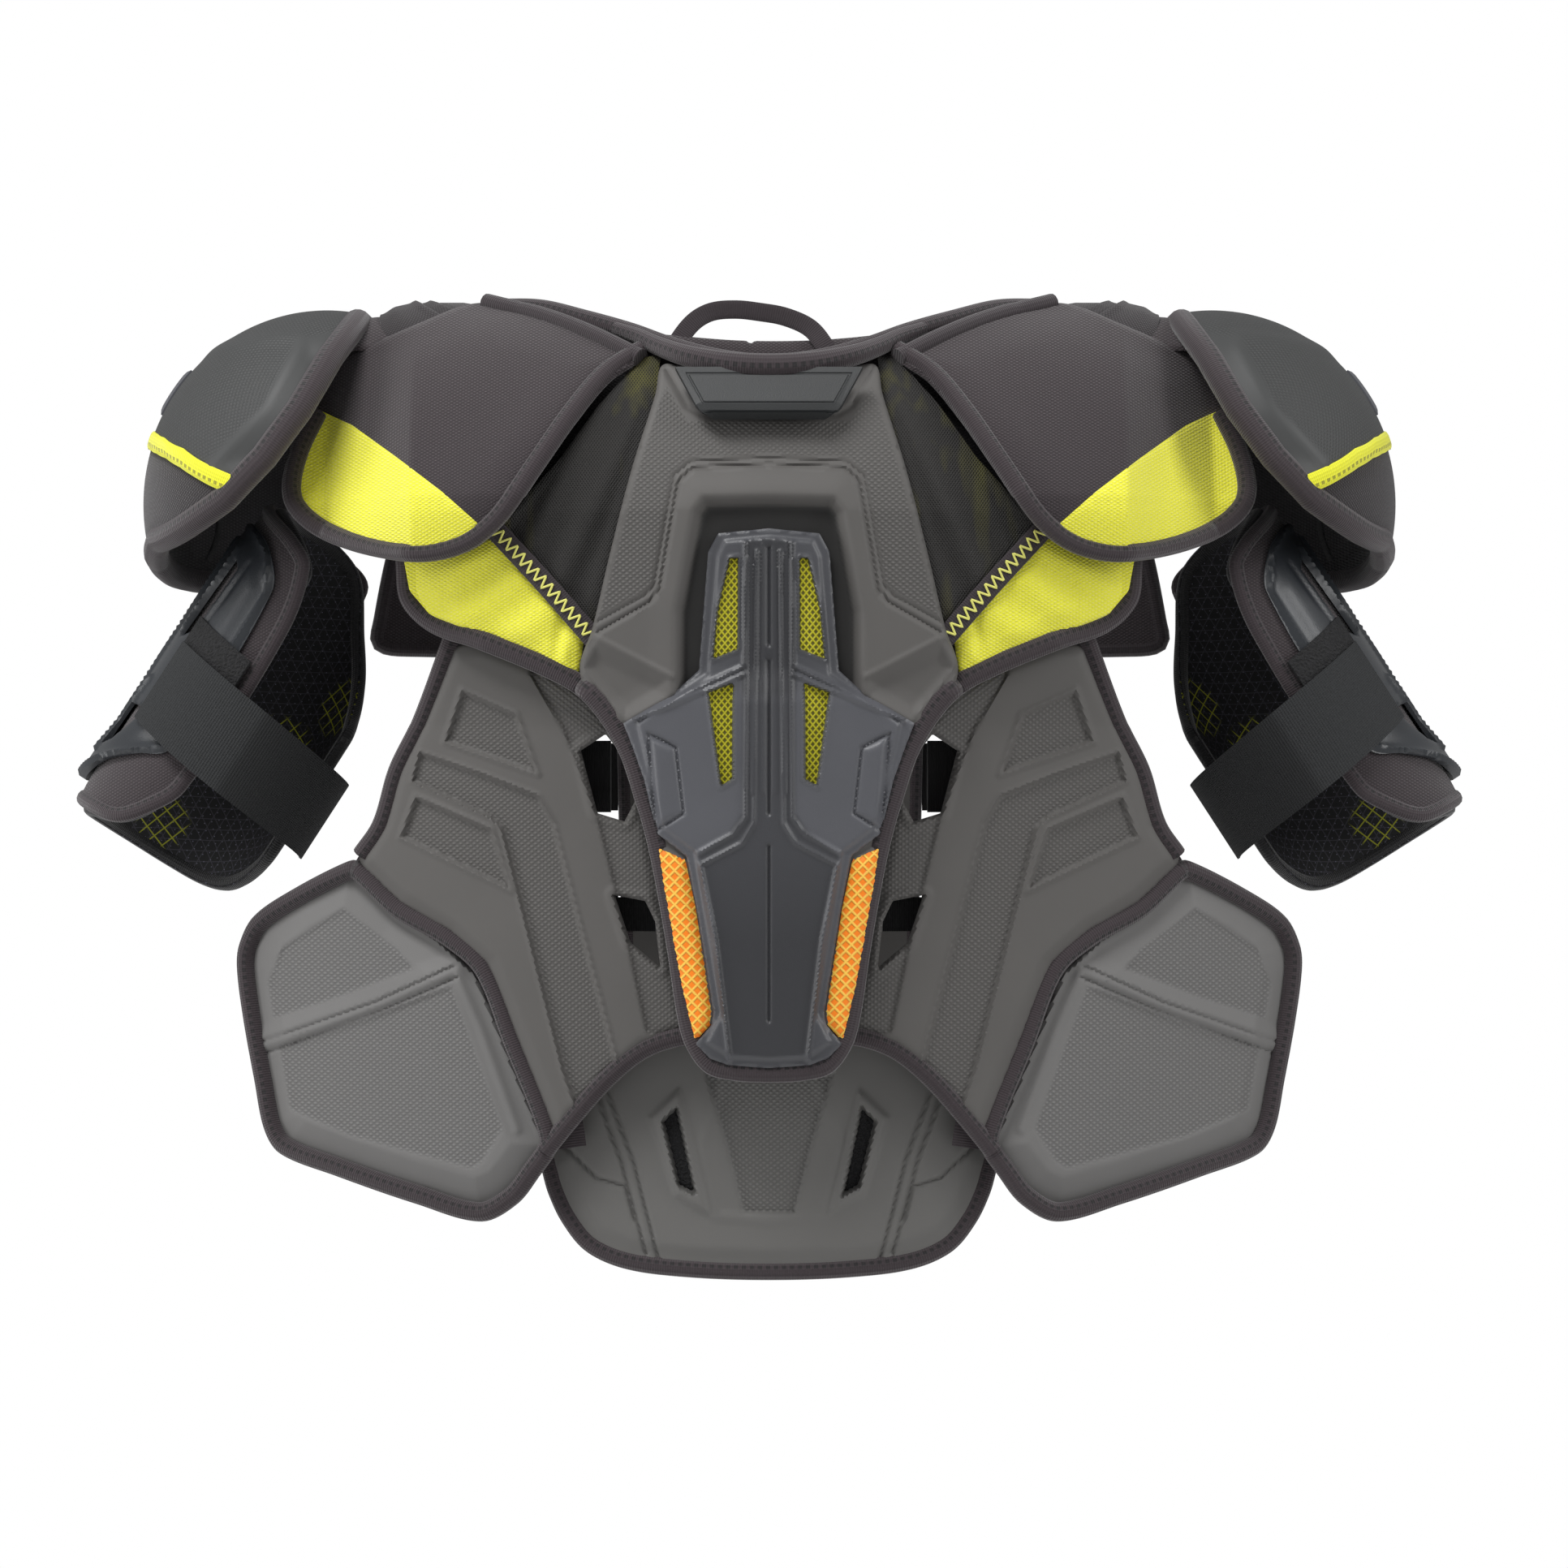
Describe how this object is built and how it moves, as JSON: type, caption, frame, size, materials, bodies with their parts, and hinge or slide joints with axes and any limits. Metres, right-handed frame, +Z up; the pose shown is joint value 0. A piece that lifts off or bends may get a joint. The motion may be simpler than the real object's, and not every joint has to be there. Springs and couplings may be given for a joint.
{
  "type": "hockey shoulder pads",
  "caption": "Padded upper-body protector: arches, chest piece with hard shield, collarbone flaps, domed shoulder caps, hinged arm guards with straps, rib wings, belly pad and back panel.",
  "frame": {"origin": "in the neck opening, on the mirror plane, a little under the shoulder ridges: the point the wearer's shoulders carry", "axes": "+X from the picture's left to its right (towards the wearer's left arm), +Z up, front faces -Y"},
  "size_m": [0.756, 0.262, 0.5315],
  "materials": {
    "mesh_fabric": "brown padded mesh fabric",
    "binding": "woven brown edge binding",
    "foam": "grey moulded foam with a fabric face and pressed textures",
    "cap_foam": "dark grey moulded foam with a fabric face",
    "shield_plastic": "satin grey plastic",
    "shell_plastic": "dark satin plastic",
    "yellow_fabric": "fluorescent yellow woven fabric",
    "impact_foam": "orange impact foam with a diamond grid",
    "elastic": "black woven elastic and webbing",
    "liner": "black liner with a thin yellow-green grid"
  },
  "bodies": {
    "harness": {"arch_left": "mesh_fabric", "arch_right": "mesh_fabric", "collar_front": "binding", "collar_back": "binding", "hang_loop": "elastic", "front_liner": "liner", "sternum_pad": "foam", "sternum_shield": "shield_plastic", "neck_plate": "foam", "chest_wing_left": "yellow_fabric", "chest_wing_right": "yellow_fabric", "mesh_gusset_left": "mesh_fabric", "mesh_gusset_right": "mesh_fabric", "orange_insert_left": "impact_foam", "orange_insert_right": "impact_foam", "front_panel_left": "foam", "front_panel_right": "foam"},
    "flap_body_left": {"flap_left": "mesh_fabric"},
    "cap_body_left": {"cap_left": "cap_foam", "cap_strip_left": "yellow_fabric"},
    "arm_body_left": {"arm_liner_left": "liner", "arm_mid_left": "mesh_fabric", "arm_shell_left": "shell_plastic"},
    "strap_body_left": {"arm_strap_left": "elastic"},
    "rib_body_left": {"rib_wing_left": "foam"},
    "flap_body_right": {"flap_right": "mesh_fabric"},
    "cap_body_right": {"cap_right": "cap_foam", "cap_strip_right": "yellow_fabric"},
    "arm_body_right": {"arm_liner_right": "liner", "arm_mid_right": "mesh_fabric", "arm_shell_right": "shell_plastic"},
    "strap_body_right": {"arm_strap_right": "elastic"},
    "rib_body_right": {"rib_wing_right": "foam"},
    "belly_body": {"belly_pad": "foam"},
    "back_body": {"back_panel": "mesh_fabric", "spine_pad": "foam", "torso_strap_left": "elastic", "torso_strap_right": "elastic"}
  },
  "joints": [
    {"name": "flap_lift_left", "type": "hinge", "parent": "harness", "child": "flap_body_left", "pos_m": [-0.16, -0.033, 0.026], "axis": [-0.8278, 0.461, 0.3197], "range_deg": [0, 8]},
    {"name": "flap_lift_right", "type": "hinge", "parent": "harness", "child": "flap_body_right", "pos_m": [0.16, -0.033, 0.026], "axis": [-0.8278, -0.461, -0.3197], "range_deg": [0, 8]},
    {"name": "cap_lift_left", "type": "hinge", "parent": "harness", "child": "cap_body_left", "pos_m": [-0.22, 0, 0.024], "axis": [0, 1, 0], "range_deg": [0, 30]},
    {"name": "cap_lift_right", "type": "hinge", "parent": "harness", "child": "cap_body_right", "pos_m": [0.22, 0, 0.024], "axis": [0, -1, 0], "range_deg": [0, 30]},
    {"name": "arm_swing_left", "type": "hinge", "parent": "cap_body_left", "child": "arm_body_left", "pos_m": [-0.298, 0, -0.092], "axis": [0, 1, 0], "range_deg": [0, 25]},
    {"name": "arm_swing_right", "type": "hinge", "parent": "cap_body_right", "child": "arm_body_right", "pos_m": [0.298, 0, -0.092], "axis": [0, -1, 0], "range_deg": [0, 25]},
    {"name": "arm_strap_open_left", "type": "hinge", "parent": "arm_body_left", "child": "strap_body_left", "pos_m": [-0.2432, 0, -0.2515], "axis": [0.5446, 0, 0.8387], "range_deg": [0, 38]},
    {"name": "arm_strap_open_right", "type": "hinge", "parent": "arm_body_right", "child": "strap_body_right", "pos_m": [0.2432, 0, -0.2515], "axis": [0.5446, 0, -0.8387], "range_deg": [0, 38]},
    {"name": "rib_flex_left", "type": "hinge", "parent": "harness", "child": "rib_body_left", "pos_m": [-0.224, -0.058, -0.274], "axis": [-0.5337, 0.2199, 0.8166], "range_deg": [-8, 22]},
    {"name": "rib_flex_right", "type": "hinge", "parent": "harness", "child": "rib_body_right", "pos_m": [0.224, -0.058, -0.274], "axis": [-0.5337, -0.2199, -0.8166], "range_deg": [-8, 22]},
    {"name": "belly_slide", "type": "slide", "parent": "harness", "child": "belly_body", "axis": [0, 0, 1], "range_m": [-0.02, 0.02]},
    {"name": "back_swing", "type": "hinge", "parent": "harness", "child": "back_body", "pos_m": [0, 0.083, -0.012], "axis": [1, 0, 0], "range_deg": [0, 30]}
  ]
}
